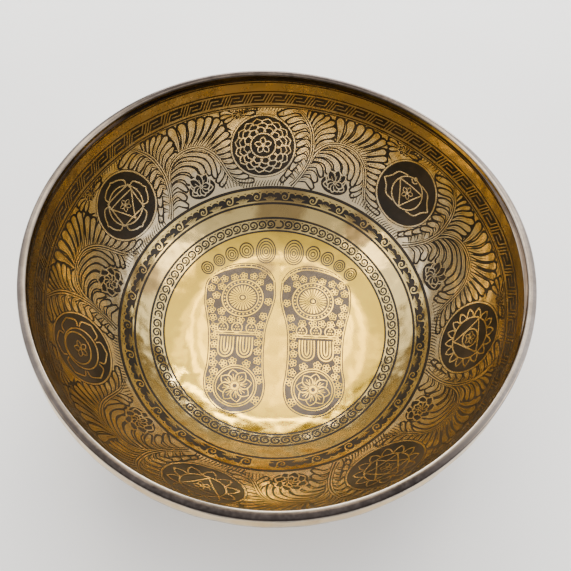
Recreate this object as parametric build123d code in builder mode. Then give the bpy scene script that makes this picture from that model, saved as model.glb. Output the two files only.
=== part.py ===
from build123d import *
import os
from math import asin, cos, hypot, pi, radians, sin

# Hand-hammered singing bowl: one piece of cast and hammered bronze, with a thickened flat lip and
# decoration etched a few tenths of a millimetre into its inside. It stands on the flattened base.
# Frame: +Z up, origin at the middle of the base, in millimetres. Azimuth 0 is +Y and grows
# clockwise seen from above, and the two footprints point their toes along +Y.

# Overall size
rim_radius = 175.0          # outside of the lip
bowl_height = 141.3         # base to the top of the lip

# Section of the wall
wall = 3.4                  # thickness of the floor and the wall
lip_width = 5.8             # flat top of the lip, across
lip_overhang = 1.2          # how far the lip stands in over the inside of the wall
lip_depth = 4.0             # height of the lip's straight faces
lip_taper = 7.0             # height over which the lip thins to the wall's outside, below those faces
overhang_taper = 2.4        # height over which its overhang thins to the wall's inside
lip_round = 1.0             # rounding of the lip's two top edges
floor_flat_radius = 68.0    # flat middle of the floor, and of the base under it
shoulder_radius = 46.0      # tight bend from the floor into the wall
shoulder_turn = 24.3        # degrees that this bend turns

# Etched decoration. The lower bands and lines are placed by the distance from the middle of the
# floor along the inside surface, and the upper ones by the distance below the rim along it
etch_depth = 0.25
running_scroll = (101.6, 110.6)
wave_scroll = (129.0, 138.6)
lower_lines = [99.8, 112.9, 126.8, 142.2]
fret_below_rim = (30.1, 20.1)
upper_lines_below_rim = [34.5, 31.9, 18.5, 9.1, 6.5]
ring_line_width = 0.9

# Medallions, which fill the height between the last lower line and the first upper one
medallion_clear_below = 11.3
medallion_clear_above = 8.7
medallion_azimuths = [-163.5, -110.5, -59.5, -7.0, 46.5, 101.5, 148.0]

# Footprints on the floor, as seen from above. The right one is the left one mirrored
foot_spacing = 2.5          # shift of the mirrored foot towards +X
foot_outline = [            # sole of the left foot, clockwise from the root of the big toe
    (-2.5, 56.0), (-1.5, 38.0), (-3.5, 18.0), (-8.0, -6.0), (-8.5, -30.0), (-7.0, -52.0),
    (-10.0, -69.0), (-20.0, -79.0), (-34.0, -81.5), (-49.0, -75.5), (-58.0, -62.0), (-59.5, -44.0),
    (-58.5, -20.0), (-61.0, 4.0), (-66.5, 26.0), (-65.5, 44.0), (-50.0, 59.0), (-27.0, 66.0),
]
toes = [                    # (x, y, half width, half length), big toe first
    (-12.5, 78.5, 9.8, 12.6),
    (-31.0, 78.0, 6.8, 7.6),
    (-44.5, 73.0, 6.0, 6.8),
    (-55.5, 66.0, 5.2, 6.0),
    (-66.0, 57.0, 5.2, 6.4),
]
toe_line_width = 0.9

over_cut = 0.6              # how far a cutter stands clear of the surface that it cuts

os.makedirs("parts", exist_ok=True)

# Inside section: a flat floor, the shoulder's arc, then one arc tangent to it that ends at the lip
floor_z = wall
turn_1 = radians(shoulder_turn)
shoulder_centre = (floor_flat_radius, floor_z + shoulder_radius)
wall_start = (
    shoulder_centre[0] + shoulder_radius * sin(turn_1),
    shoulder_centre[1] - shoulder_radius * cos(turn_1),
)
wall_end = (rim_radius - lip_width + lip_overhang, bowl_height)
chord = (wall_end[0] - wall_start[0], wall_end[1] - wall_start[1])
normal = (-sin(turn_1), cos(turn_1))
wall_radius = hypot(*chord) ** 2 / (2 * (chord[0] * normal[0] + chord[1] * normal[1]))
wall_centre = (wall_start[0] + wall_radius * normal[0], wall_start[1] + wall_radius * normal[1])


def on_arc(centre, radius, turn):
    """The point of an arc where its tangent has turned that far up from level."""
    return (centre[0] + radius * sin(turn), centre[1] - radius * cos(turn))


def turn_at_height(radius, z):
    """How far the wall's arc of this radius has turned where it reaches this height."""
    return asin((z - wall_centre[1]) / radius) + pi / 2


shoulder_end = floor_flat_radius + shoulder_radius * turn_1
rim_distance = shoulder_end + wall_radius * (turn_at_height(wall_radius, bowl_height) - turn_1)


def turn_at(distance):
    """How far the inside has turned at this distance along it from the middle of the floor."""
    return turn_1 + (distance - shoulder_end) / wall_radius


def arc(centre, radius, start, end):
    """An arc of the section from one turn to another."""
    middle = (start + end) / 2
    return ThreePointArc(*(on_arc(centre, radius, t) for t in (start, middle, end)))


def wall_band(start, end, depth):
    """A closed section on the inside of the wall, from one distance to another, that deep."""
    inner, outer = wall_radius - over_cut, wall_radius + depth
    a, b = turn_at(start), turn_at(end)
    arc(wall_centre, inner, a, b)
    Line(on_arc(wall_centre, inner, b), on_arc(wall_centre, outer, b))
    arc(wall_centre, outer, b, a)
    Line(on_arc(wall_centre, outer, a), on_arc(wall_centre, inner, a))


# The bowl's own section, inside and outside, with its lip
top = bowl_height
lip_inside = rim_radius - lip_width
inside_lip_end = top - lip_depth - overhang_taper
outside_lip_end = top - lip_depth - lip_taper
inside_turn = turn_at_height(wall_radius, inside_lip_end)
outside_turn = turn_at_height(wall_radius + wall, outside_lip_end)
with BuildPart() as bowl:
    with BuildSketch(Plane.XZ):
        with BuildLine():
            Line((0, floor_z), (floor_flat_radius, floor_z))
            arc(shoulder_centre, shoulder_radius, 0, turn_1)
            arc(wall_centre, wall_radius, turn_1, inside_turn)
            Polyline(
                on_arc(wall_centre, wall_radius, inside_turn),
                (lip_inside, top - lip_depth),
                (lip_inside, top),
                (rim_radius, top),
                (rim_radius, top - lip_depth),
                on_arc(wall_centre, wall_radius + wall, outside_turn),
            )
            arc(wall_centre, wall_radius + wall, outside_turn, turn_1)
            arc(shoulder_centre, shoulder_radius + wall, turn_1, 0)
            Polyline((floor_flat_radius, 0), (0, 0), (0, floor_z))
        make_face()
    revolve(axis=Axis.Z)
    fillet(bowl.faces().sort_by(Axis.Z)[-1].edges(), lip_round)

# Full-width bands of ornament, and the single engraved lines that frame them
fret = tuple(rim_distance - below for below in fret_below_rim)
ring_lines = lower_lines + [rim_distance - below for below in upper_lines_below_rim]
with BuildPart() as band_cutter:
    for start, end in (running_scroll, wave_scroll, fret):
        with BuildSketch(Plane.XZ):
            with BuildLine():
                wall_band(start, end, etch_depth)
            make_face()
        revolve(axis=Axis.Z)
    for distance in ring_lines:
        with BuildSketch(Plane.XZ):
            with BuildLine():
                wall_band(distance - ring_line_width / 2, distance + ring_line_width / 2, etch_depth)
            make_face()
        revolve(axis=Axis.Z)

# Round medallions: a skin of the wall as thick as the etching, kept only where they lie
medallion_low = lower_lines[-1] + medallion_clear_below
medallion_high = rim_distance - upper_lines_below_rim[0] - medallion_clear_above
medallion_radius = (medallion_high - medallion_low) / 2
medallion_distance = (medallion_high + medallion_low) / 2
medallion_turn = turn_at(medallion_distance)
medallion_spot = on_arc(wall_centre, wall_radius, medallion_turn)
with BuildPart() as medallion_cutter:
    with BuildSketch(Plane.XZ):
        with BuildLine():
            reach = medallion_radius + over_cut
            wall_band(medallion_distance - reach, medallion_distance + reach, etch_depth)
        make_face()
    revolve(axis=Axis.Z)
    planes = []
    for azimuth in medallion_azimuths:
        a = radians(azimuth)
        outwards = Vector(sin(a), cos(a), 0)
        spot = outwards * medallion_spot[0] + Vector(0, 0, medallion_spot[1])
        away = outwards * -sin(medallion_turn) + Vector(0, 0, cos(medallion_turn))
        planes.append(Plane(origin=spot, z_dir=away))
    with Locations(*[Location(plane) for plane in planes]):
        Cylinder(medallion_radius, medallion_radius, mode=Mode.INTERSECT)

# Footprints: a skin of the floor and the shoulder, kept only under the soles and the toes' outlines
foot_reach = max(hypot(x, y + half_length) for x, y, half_width, half_length in toes) + over_cut
foot_reach = max(foot_reach, wall_start[0] + over_cut)
floor_end = asin((foot_reach - wall_centre[0]) / wall_radius)
with BuildPart() as foot_shape:
    with BuildSketch(Plane.XY) as soles:
        with BuildLine():
            Spline(*foot_outline, periodic=True)
        make_face()
        for x, y, half_width, half_length in toes:
            with Locations((x, y)):
                Ellipse(half_width, half_length)
                Ellipse(half_width - toe_line_width, half_length - toe_line_width, mode=Mode.SUBTRACT)
        mirror(about=Plane.YZ.offset(foot_spacing / 2))
    extrude(amount=floor_z + foot_reach)
with BuildPart() as foot_cutter:
    with BuildSketch(Plane.XZ):
        with BuildLine():
            Polyline((0, floor_z - etch_depth), (floor_flat_radius, floor_z - etch_depth))
            arc(shoulder_centre, shoulder_radius + etch_depth, 0, turn_1)
            arc(wall_centre, wall_radius + etch_depth, turn_1, floor_end)
            Line(
                on_arc(wall_centre, wall_radius + etch_depth, floor_end),
                on_arc(wall_centre, wall_radius - over_cut, floor_end),
            )
            arc(wall_centre, wall_radius - over_cut, floor_end, turn_1)
            arc(shoulder_centre, shoulder_radius - over_cut, turn_1, 0)
            Polyline(
                (floor_flat_radius, floor_z + over_cut),
                (0, floor_z + over_cut),
                (0, floor_z - etch_depth),
            )
        make_face()
    revolve(axis=Axis.Z)
    add(foot_shape.part, mode=Mode.INTERSECT)

with bowl:
    add(band_cutter.part, mode=Mode.SUBTRACT)
    add(medallion_cutter.part, mode=Mode.SUBTRACT)
    add(foot_cutter.part, mode=Mode.SUBTRACT)

bowl.part.label = "bowl"
export_step(bowl.part, "parts/bowl.step")
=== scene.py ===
"""The looks of a hand-hammered bronze singing bowl, etched inside with footprints, bands and leafwork.

The bowl is a section turned about +Z and dented by rows of hammer strikes. Its plain body carries the
dark etched ground. The bright metal that the acid left standing is a set of thin raised pieces on it,
cut from flat drawings and bent onto the inside surface. Lengths here are in millimetres until a mesh
is made. Azimuth 0 is +Y and grows clockwise seen from above, as in the part's own frame.
"""

from math import ceil, cos, hypot, pi, radians, sin

import bpy
import numpy as np
from mathutils import Matrix, Vector
from mathutils.geometry import delaunay_2d_cdt


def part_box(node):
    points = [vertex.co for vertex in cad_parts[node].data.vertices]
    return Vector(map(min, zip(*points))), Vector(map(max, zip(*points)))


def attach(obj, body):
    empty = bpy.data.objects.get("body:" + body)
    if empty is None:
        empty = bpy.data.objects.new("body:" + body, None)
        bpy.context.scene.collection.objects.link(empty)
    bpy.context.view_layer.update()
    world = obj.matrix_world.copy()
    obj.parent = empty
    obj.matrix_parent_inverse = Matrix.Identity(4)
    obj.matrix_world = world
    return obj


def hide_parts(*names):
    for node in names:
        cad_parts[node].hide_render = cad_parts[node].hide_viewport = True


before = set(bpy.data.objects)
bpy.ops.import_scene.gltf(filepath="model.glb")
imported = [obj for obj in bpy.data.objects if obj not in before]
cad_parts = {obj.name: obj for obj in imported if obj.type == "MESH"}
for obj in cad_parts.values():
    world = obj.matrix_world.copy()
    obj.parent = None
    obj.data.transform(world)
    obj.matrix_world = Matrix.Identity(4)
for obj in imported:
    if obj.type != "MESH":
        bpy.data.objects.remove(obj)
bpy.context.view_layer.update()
METRE = 0.001

# Sizes of the bowl. The overall ones come from the frame, and the rest of the section from the design
bowl_low, bowl_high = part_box("bowl")
RIM_RADIUS = (bowl_high.x - bowl_low.x) / 2 / METRE
HEIGHT = bowl_high.z / METRE
WALL = 3.4
LIP_WIDTH = 5.8
LIP_OVERHANG = 1.2
LIP_DEPTH = 4.0
LIP_TAPER = 7.0
OVERHANG_TAPER = 2.4
LIP_ROUND = 1.0
FLOOR_FLAT = 68.0
SHOULDER_RADIUS = 46.0
SHOULDER_TURN = radians(24.3)
BELLY = 3.0                 # how far the wall swells out below the lip
CROWN = 0.35                # how far the top of the lip is rounded up along its middle
RIM_WAVE = 0.5              # how far the rim dips and rises
OUT_OF_ROUND = ((2, 0.008, -0.006), (3, 0.008, 0.007), (4, 0.001, 0.002))  # lobes, and two shares of r
ETCH = 0.15                 # how deep the dark ground lies under the bright metal
FOOTING = 0.06              # how far the raised pieces reach into that ground
GRID_PITCH = 2.6            # spacing of the points that let a drawing follow the hammered surface


# ---------------------------------------------------------------- section and surface

def heading(turn):
    """The normal on the left of a path that heads that far up from outwards."""
    return np.array((-np.sin(turn), np.cos(turn)))


class Section:
    """A chain of lines and arcs, read by the length along it. Arcs bulge to the right of their normal."""

    def __init__(self, start):
        self.parts, self.length, self.point = [], 0.0, np.array(start, float)

    def line(self, end):
        end = np.array(end, float)
        step = end - self.point
        size = float(np.hypot(*step))
        along = step / size
        normal = np.array((-along[1], along[0]))
        self.parts.append((self.length, size, self.point, along, normal, None))
        self.length += size
        self.point = end
        return self

    def arc(self, centre, radius, start, end):
        """Turns from one heading to another: up to the left, or to the right for a negative radius."""
        centre = np.array(centre, float)
        size = abs(radius * (end - start))
        self.parts.append((self.length, size, centre, start, end, radius))
        self.length += size
        self.point = centre - radius * heading(end)
        return self

    def at(self, distance):
        """(r, z, normal r, normal z) at these distances along the section."""
        shape = np.shape(distance)
        distance = np.asarray(distance, float).reshape(-1)
        out = np.zeros((4, len(distance)))
        for number, (begin, size, a, b, c, radius) in enumerate(self.parts):
            last = number == len(self.parts) - 1
            here = (distance >= begin if number else np.full(distance.shape, True))
            here &= (distance <= begin + size) if not last else True
            d = distance[here] - begin
            if radius is None:
                out[0][here], out[1][here] = a[0] + b[0] * d, a[1] + b[1] * d
                out[2][here], out[3][here] = c[0], c[1]
            else:
                n = heading(b + (c - b) * d / size)
                out[0][here], out[1][here] = a[0] - radius * n[0], a[1] - radius * n[1]
                out[2][here], out[3][here] = n
        return out.reshape((4,) + shape)

    def radius(self, distance):
        """The radius at one distance."""
        return float(self.at(distance)[0])


shoulder_centre = (FLOOR_FLAT, WALL + SHOULDER_RADIUS)
wall_start = np.array(shoulder_centre) - SHOULDER_RADIUS * heading(SHOULDER_TURN)
wall_end = np.array((RIM_RADIUS - LIP_WIDTH + LIP_OVERHANG, HEIGHT))
chord = wall_end - wall_start
WALL_RADIUS = float(chord @ chord / (2 * (chord @ heading(SHOULDER_TURN))))
wall_centre = wall_start + WALL_RADIUS * heading(SHOULDER_TURN)


def turn_at_height(radius, z):
    """How far an arc about the wall's centre has turned where it reaches this height."""
    return float(np.arcsin((z - wall_centre[1]) / radius)) + pi / 2


# The whole section: inside from the middle of the floor up, over the lip, and down the outside
lip_inside = RIM_RADIUS - LIP_WIDTH
inside_turn = turn_at_height(WALL_RADIUS, HEIGHT - LIP_DEPTH - OVERHANG_TAPER)
outside_turn = turn_at_height(WALL_RADIUS + WALL, HEIGHT - LIP_DEPTH - LIP_TAPER)
section = Section((0, WALL))
section.line((FLOOR_FLAT, WALL))
section.arc(shoulder_centre, SHOULDER_RADIUS, 0, SHOULDER_TURN)
SHOULDER_END = section.length
section.arc(wall_centre, WALL_RADIUS, SHOULDER_TURN, inside_turn)
WALL_END = section.length
section.line((lip_inside, HEIGHT - LIP_DEPTH))
LIP_IN = section.length
section.line((lip_inside, HEIGHT - LIP_ROUND))
section.arc((lip_inside + LIP_ROUND, HEIGHT - LIP_ROUND), -LIP_ROUND, pi / 2, 0)
section.line((RIM_RADIUS - LIP_ROUND, HEIGHT))
section.arc((RIM_RADIUS - LIP_ROUND, HEIGHT - LIP_ROUND), -LIP_ROUND, 0, -pi / 2)
section.line((RIM_RADIUS, HEIGHT - LIP_DEPTH))
LIP_OUT = section.length
LIP_MIDDLE = (LIP_IN + LIP_OUT) / 2
outside = wall_centre + (WALL_RADIUS + WALL) * -heading(outside_turn)
section.line(outside)
section.arc(wall_centre, -(WALL_RADIUS + WALL), outside_turn - pi, SHOULDER_TURN - pi)
section.arc(shoulder_centre, -(SHOULDER_RADIUS + WALL), SHOULDER_TURN - pi, -pi)
section.line((0, 0))


def distance_at(radius):
    """How far from the middle of the floor, along the inside, the surface has this radius."""
    radius = np.asarray(radius, float)
    bend = np.clip((radius - FLOOR_FLAT) / SHOULDER_RADIUS, 0, 1)
    wall = np.clip((radius - wall_centre[0]) / WALL_RADIUS, 0, 1)
    shoulder = FLOOR_FLAT + SHOULDER_RADIUS * np.arcsin(bend)
    up = SHOULDER_END + WALL_RADIUS * (np.arcsin(wall) - SHOULDER_TURN)
    return np.where(radius <= FLOOR_FLAT, radius, np.where(radius <= wall_start[0], shoulder, up))


class Strikes:
    """Hammer marks: shallow round dents in jittered rings, that meet in soft ridges."""

    def __init__(self, seed, length, pitch, depth, ridge):
        self.pitch, self.depth, self.ridge = pitch, depth, ridge
        rows = int(length / pitch) + 3
        radii = section.at((np.arange(rows) + 0.5) * pitch)[0]
        self.counts = np.maximum(3, np.round(2 * pi * radii / pitch)).astype(int)
        random = np.random.default_rng(seed)
        most = self.counts.max()
        self.along = random.uniform(-0.42, 0.42, (rows, most))
        self.up = random.uniform(-0.42, 0.42, (rows, most))
        self.size = random.uniform(0.75, 1.3, (rows, most))

    def dent(self, azimuth, distance):
        """How deep the surface is dented at these azimuths (radians) and distances."""
        azimuth = np.asarray(azimuth, float) % (2 * pi)
        distance = np.asarray(distance, float)
        home = np.floor(distance / self.pitch).astype(int)
        radius = section.at(distance)[0]
        total = np.zeros(distance.shape)
        for step in (-1, 0, 1):
            row = np.clip(home + step, 0, len(self.counts) - 1)
            count = self.counts[row]
            slot = np.floor(azimuth / (2 * pi) * count).astype(int)
            for side in (-1, 0, 1):
                number = (slot + side) % count
                centre = (slot + side + 0.5 + self.along[row, number]) / count * 2 * pi
                across = (azimuth - centre) * radius
                up = distance - (row + 0.5 + self.up[row, number]) * self.pitch
                reach = self.pitch * 0.95 * self.size[row, number]
                deep = self.depth * self.size[row, number]
                total += np.exp(self.ridge * deep * (1 - (across ** 2 + up ** 2) / reach ** 2))
        return np.log(total + 1e-12) / self.ridge


inside_strikes = Strikes(seed=7, length=WALL_END, pitch=13.5, depth=0.34, ridge=26.0)
outside_strikes = Strikes(seed=11, length=section.length, pitch=13.0, depth=0.62, ridge=24.0)


def smooth(x, low, high):
    """A step from 0 at low to 1 at high, with soft ends."""
    t = np.clip((x - low) / (high - low), 0, 1)
    return t * t * (3 - 2 * t)


def dent(azimuth, distance):
    """The dents of the inside, none on the lip, and those of the outside."""
    lip = smooth(distance, WALL_END - 3, WALL_END) * (1 - smooth(distance, LIP_OUT + 2, LIP_OUT + 14))
    within = inside_strikes.dent(azimuth, distance)
    without = outside_strikes.dent(azimuth, section.length - distance)
    return np.where(distance < LIP_MIDDLE, within, without) * (1 - lip)


def surface(azimuth, distance, lift=0.0):
    """Points of the hammered surface, lifted along its normal, as an (n, 3) array in millimetres."""
    azimuth, distance = np.broadcast_arrays(np.asarray(azimuth, float), np.asarray(distance, float))
    r, z, nr, nz = section.at(distance)
    out = lift - dent(azimuth, distance)
    r, z = r + nr * out, z + nz * out
    bent = 0.0
    a = pi / 2 - azimuth
    for order, c, s in OUT_OF_ROUND:
        bent = bent + c * np.cos(order * a) + s * np.sin(order * a)
    share = np.clip(z / HEIGHT, 0, 1.02) ** 3
    under = distance - LIP_OUT
    fullness = smooth(under, 0.0, 9.0) * (1 - smooth(under, 26.0, 76.0))
    r = r * (1 + bent * share) + BELLY * fullness * (1 + 0.3 * np.cos(azimuth + 2.6))
    top = (distance - LIP_MIDDLE) / (LIP_WIDTH / 2)
    z = z + RIM_WAVE * share * np.sin(3 * azimuth + 0.6) + CROWN * np.clip(1 - top ** 2, 0, 1)
    return np.stack((r * np.sin(azimuth), r * np.cos(azimuth), z), -1)


# ---------------------------------------------------------------- meshes

def link_mesh(name, points, corners, sizes, normals, uvs, materials, slots):
    """An object from points in millimetres and faces given as one run of corners, with split normals."""
    mesh = bpy.data.meshes.new(name)
    mesh.vertices.add(len(points))
    mesh.vertices.foreach_set("co", (np.asarray(points) * METRE).astype(np.float32).ravel())
    mesh.loops.add(len(corners))
    mesh.loops.foreach_set("vertex_index", np.asarray(corners, np.int32))
    starts = np.concatenate(([0], np.cumsum(sizes)[:-1])).astype(np.int32)
    mesh.polygons.add(len(sizes))
    mesh.polygons.foreach_set("loop_start", starts)
    mesh.polygons.foreach_set("material_index", np.asarray(slots, np.int32))
    layer = mesh.uv_layers.new(name="OFBake")
    layer.data.foreach_set("uv", np.asarray(uvs, np.float32).ravel())
    mesh.update(calc_edges=True)
    mesh.shade_smooth()
    mesh.normals_split_custom_set(np.asarray(normals, float).tolist())
    for material in materials:
        mesh.materials.append(material)
    made = bpy.data.objects.new(name, mesh)
    bpy.context.scene.collection.objects.link(made)
    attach(made, "root")
    return made


def unit(vectors):
    """The vectors at length 1."""
    return vectors / np.maximum(np.linalg.norm(vectors, axis=-1, keepdims=True), 1e-12)


class WallMap:
    """A band of the inside unrolled flat: x is azimuth times a mean radius, y is the distance."""

    def __init__(self, low, high):
        self.low, self.high = low, high
        self.radius = section.radius((low + high) / 2)
        self.width = 2 * pi * self.radius
        self.rows = max(1, round((self.width / (high - low + 2)) ** 0.5))

    def outline(self):
        half = self.width / 2
        x = np.arange(0, 361) / 360 * self.width - half
        up = np.linspace(self.low, self.high, max(2, ceil((self.high - self.low) / 2)))[1:-1]
        bottom = [(v, self.low) for v in x]
        right = [(half, v) for v in up]
        top = [(v, self.high) for v in x[::-1]]
        left = [(-half, v) for v in up[::-1]]
        return np.array(bottom + right + top + left)

    def cells(self, count):
        edges = np.linspace(-self.width / 2, self.width / 2, count + 1)
        return [(a, b, self.low, self.high) for a, b in zip(edges, edges[1:])]

    def grid(self, pitch):
        xs = np.arange(-self.width / 2 + pitch / 2, self.width / 2, pitch)
        ys = np.arange(self.low + pitch / 2, self.high - pitch / 3, pitch * 0.87)
        points = [(x + (pitch / 2 if n % 2 else 0), y) for n, y in enumerate(ys) for x in xs]
        return [p for p in points if p[0] < self.width / 2 - pitch / 4]

    def place(self, flat, lift=0.0):
        return surface(flat[..., 0] / self.radius, flat[..., 1], lift)

    def uv(self, flat, centres):
        """Rows of the band stacked in the unit square, each face kept whole in the row of its centre."""
        size = self.width / self.rows
        tall = self.high - self.low + 2
        row = np.clip(np.floor((centres[:, 0] + self.width / 2) / size), 0, self.rows - 1)
        x = flat[:, 0] + self.width / 2 - row * size + 6
        y = flat[:, 1] - self.low + 1 + row * tall
        return np.stack((x, y), -1) / max(size + 12, self.rows * tall)


class FloorMap:
    """The floor and the foot of the wall seen in plan: x and y are the frame's own."""

    def __init__(self, radius):
        self.reach = radius

    def outline(self):
        a = np.arange(360) / 180 * pi
        return np.stack((np.cos(a), np.sin(a)), -1) * self.reach

    def cells(self, count):
        edges = np.linspace(-self.reach, self.reach, count + 1)
        return [(a, b, c, d) for a, b in zip(edges, edges[1:]) for c, d in zip(edges, edges[1:])
                if min(hypot(x, y) for x in (a, b) for y in (c, d)) < self.reach]

    def grid(self, pitch):
        xs = np.arange(-self.reach, self.reach, pitch)
        ys = np.arange(-self.reach, self.reach, pitch * 0.87)
        points = [(x + (pitch / 2 if n % 2 else 0), y) for n, y in enumerate(ys) for x in xs]
        return [p for p in points if hypot(*p) < self.reach - pitch / 3]

    def place(self, flat, lift=0.0):
        azimuth = np.arctan2(flat[..., 0], flat[..., 1])
        return surface(azimuth, distance_at(np.hypot(flat[..., 0], flat[..., 1])), lift)

    def uv(self, flat, centres):
        return flat / (2 * self.reach + 2) + 0.5


def normals_of(chart, flat):
    """Unit normals of the hammered surface at these places of a map, towards the inside of the bowl."""
    step = 0.25
    dx, dy = np.array((step, 0)), np.array((0, step))
    along = chart.place(flat + dx) - chart.place(flat - dx)
    up = chart.place(flat + dy) - chart.place(flat - dy)
    normals = unit(np.cross(along, up))
    middle = np.array((0, 0, HEIGHT * 1.2)) - chart.place(flat)
    return normals * np.sign(np.sum(normals * middle, -1, keepdims=True))


def divided(points, longest):
    """A closed outline with its long edges divided."""
    points = np.asarray(points, float)
    nexts = np.roll(points, -1, 0)
    counts = np.maximum(1, np.ceil(np.hypot(*(nexts - points).T) / longest).astype(int))
    edges = zip(points, nexts, counts)
    return np.concatenate([a + (b - a) * np.arange(n)[:, None] / n for a, b, n in edges])


def area(points):
    """The area within an outline, positive when it runs anticlockwise."""
    x, y = np.asarray(points).T
    return 0.5 * float(np.sum(x * np.roll(y, -1) - y * np.roll(x, -1)))


def clipped(outline, box):
    """The part of an outline within a box (low x, high x, low y, high y), cut one side at a time."""
    for axis, sign, limit in ((0, 1, box[0]), (0, -1, box[1]), (1, 1, box[2]), (1, -1, box[3])):
        if len(outline) < 3:
            break
        depth = sign * (outline[:, axis] - limit)
        if depth.min() >= 0:
            continue
        after, depth_after = np.roll(outline, -1, 0), np.roll(depth, -1)
        kept = []
        for p, q, d, e in zip(outline, after, depth, depth_after):
            if d >= 0:
                kept.append(p)
            if (d > 0 > e) or (d < 0 < e):
                kept.append(p + (q - p) * d / (d - e))
        outline = np.array(kept)
    return outline


def oblong(low_x, high_x, low_y, high_y):
    return np.array(((low_x, low_y), (high_x, low_y), (high_x, high_y), (low_x, high_y)))


def fill(chart, shapes, cell, grid):
    """The bright triangles of a drawing within one cell of its map."""
    low_x, high_x, low_y, high_y = cell
    corners = oblong(low_x, high_x, low_y, high_y)
    wide = (low_x - 1, high_x + 1, low_y - 1, high_y + 1)
    points, faces, colours = [], [], []
    for outline, bright in [(chart.outline(), True), (corners, True)] + shapes:
        if outline[:, 0].min() > high_x or outline[:, 0].max() < low_x:
            continue
        if outline[:, 1].min() > high_y or outline[:, 1].max() < low_y:
            continue
        outline = clipped(divided(outline, 3.0), wide)
        if len(outline) < 3:
            continue
        if area(outline) < 0:
            outline = outline[::-1]
        faces.append(list(range(len(points), len(points) + len(outline))))
        points.extend(map(tuple, outline))
        colours.append(bright)
    inside_cell = (grid[:, 0] > low_x + 0.5) & (grid[:, 0] < high_x - 0.5)
    inside_cell &= (grid[:, 1] > low_y + 0.3) & (grid[:, 1] < high_y - 0.3)
    points.extend(map(tuple, grid[inside_cell]))
    verts, _, tris, _, _, origins = delaunay_2d_cdt([Vector(p) for p in points], [], faces, 1, 1e-4)
    keep = [t for t, o in zip(tris, origins) if 0 in o and 1 in o and colours[max(o)]]
    return np.array(verts)[:, :2].astype(float), np.array(keep, int).reshape(-1, 3)


def relief(name, chart, shapes, material, cells):
    """Raises the bright parts of a drawing off the ground as one piece with a top, sides and a base.
    shapes are (outline, is bright), each drawn over the ones before it. The map starts out bright. It is
    cut into triangles one cell at a time, as a long list of outlines at once would be slow."""
    grid = np.array(chart.grid(GRID_PITCH))
    all_points, parts, count = [], [], 0
    for cell in cells:
        points, tris = fill(chart, shapes, cell, grid)
        all_points.append(points)
        parts.append(tris + count)
        count += len(points)
    flat, tris = np.concatenate(all_points), np.concatenate(parts)
    _, first, same = np.unique(np.round(flat, 3), axis=0, return_index=True, return_inverse=True)
    flat, tris = flat[first], same.reshape(-1)[tris]
    tris = tris[(tris[:, 0] != tris[:, 1]) & (tris[:, 1] != tris[:, 2]) & (tris[:, 2] != tris[:, 0])]
    used, tris = np.unique(tris, return_inverse=True)
    tris = tris.reshape(-1, 3)
    flat = flat[used]
    a, b, c = (flat[tris[:, n]] for n in range(3))
    turn = (b - a)[:, 0] * (c - a)[:, 1] - (b - a)[:, 1] * (c - a)[:, 0]
    tris, turn = tris[np.abs(turn) > 1e-7], turn[np.abs(turn) > 1e-7]
    tris[turn < 0] = tris[turn < 0][:, ::-1]
    edges = np.concatenate((tris[:, (0, 1)], tris[:, (1, 2)], tris[:, (2, 0)]))
    codes = edges[:, 0] * len(flat) + edges[:, 1]
    back = edges[:, 1] * len(flat) + edges[:, 0]
    rim = edges[~np.isin(codes, back)]
    top, base = chart.place(flat), chart.place(flat, -ETCH - FOOTING)
    normals = normals_of(chart, flat)
    sides = np.stack((rim[:, 0], rim[:, 0] + len(flat), rim[:, 1] + len(flat), rim[:, 1]), -1)
    under = tris[:, ::-1] + len(flat)
    corners = np.concatenate((tris.ravel(), under.ravel(), sides.ravel()))
    sizes = np.concatenate((np.full(2 * len(tris), 3), np.full(len(sides), 4)))
    across = top[rim[:, 1]] - top[rim[:, 0]]
    faced = unit(np.cross(across, normals[rim[:, 0]]))
    split = np.concatenate((normals[tris.ravel()], -normals[(under - len(flat)).ravel()],
                            np.repeat(faced, 4, axis=0)))
    centres = np.concatenate((np.repeat(flat[tris].mean(1), 3, axis=0),
                              np.repeat(flat[tris].mean(1), 3, axis=0),
                              np.repeat(flat[rim].mean(1), 4, axis=0)))
    uvs = chart.uv(flat[corners % len(flat)], centres)
    etched_sides = np.repeat((0, 0, 1), (len(tris), len(tris), len(sides)))
    points = np.concatenate((top, base))
    made = link_mesh(name, points, corners, sizes, split, uvs, [material, patina], etched_sides)
    return made


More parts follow.
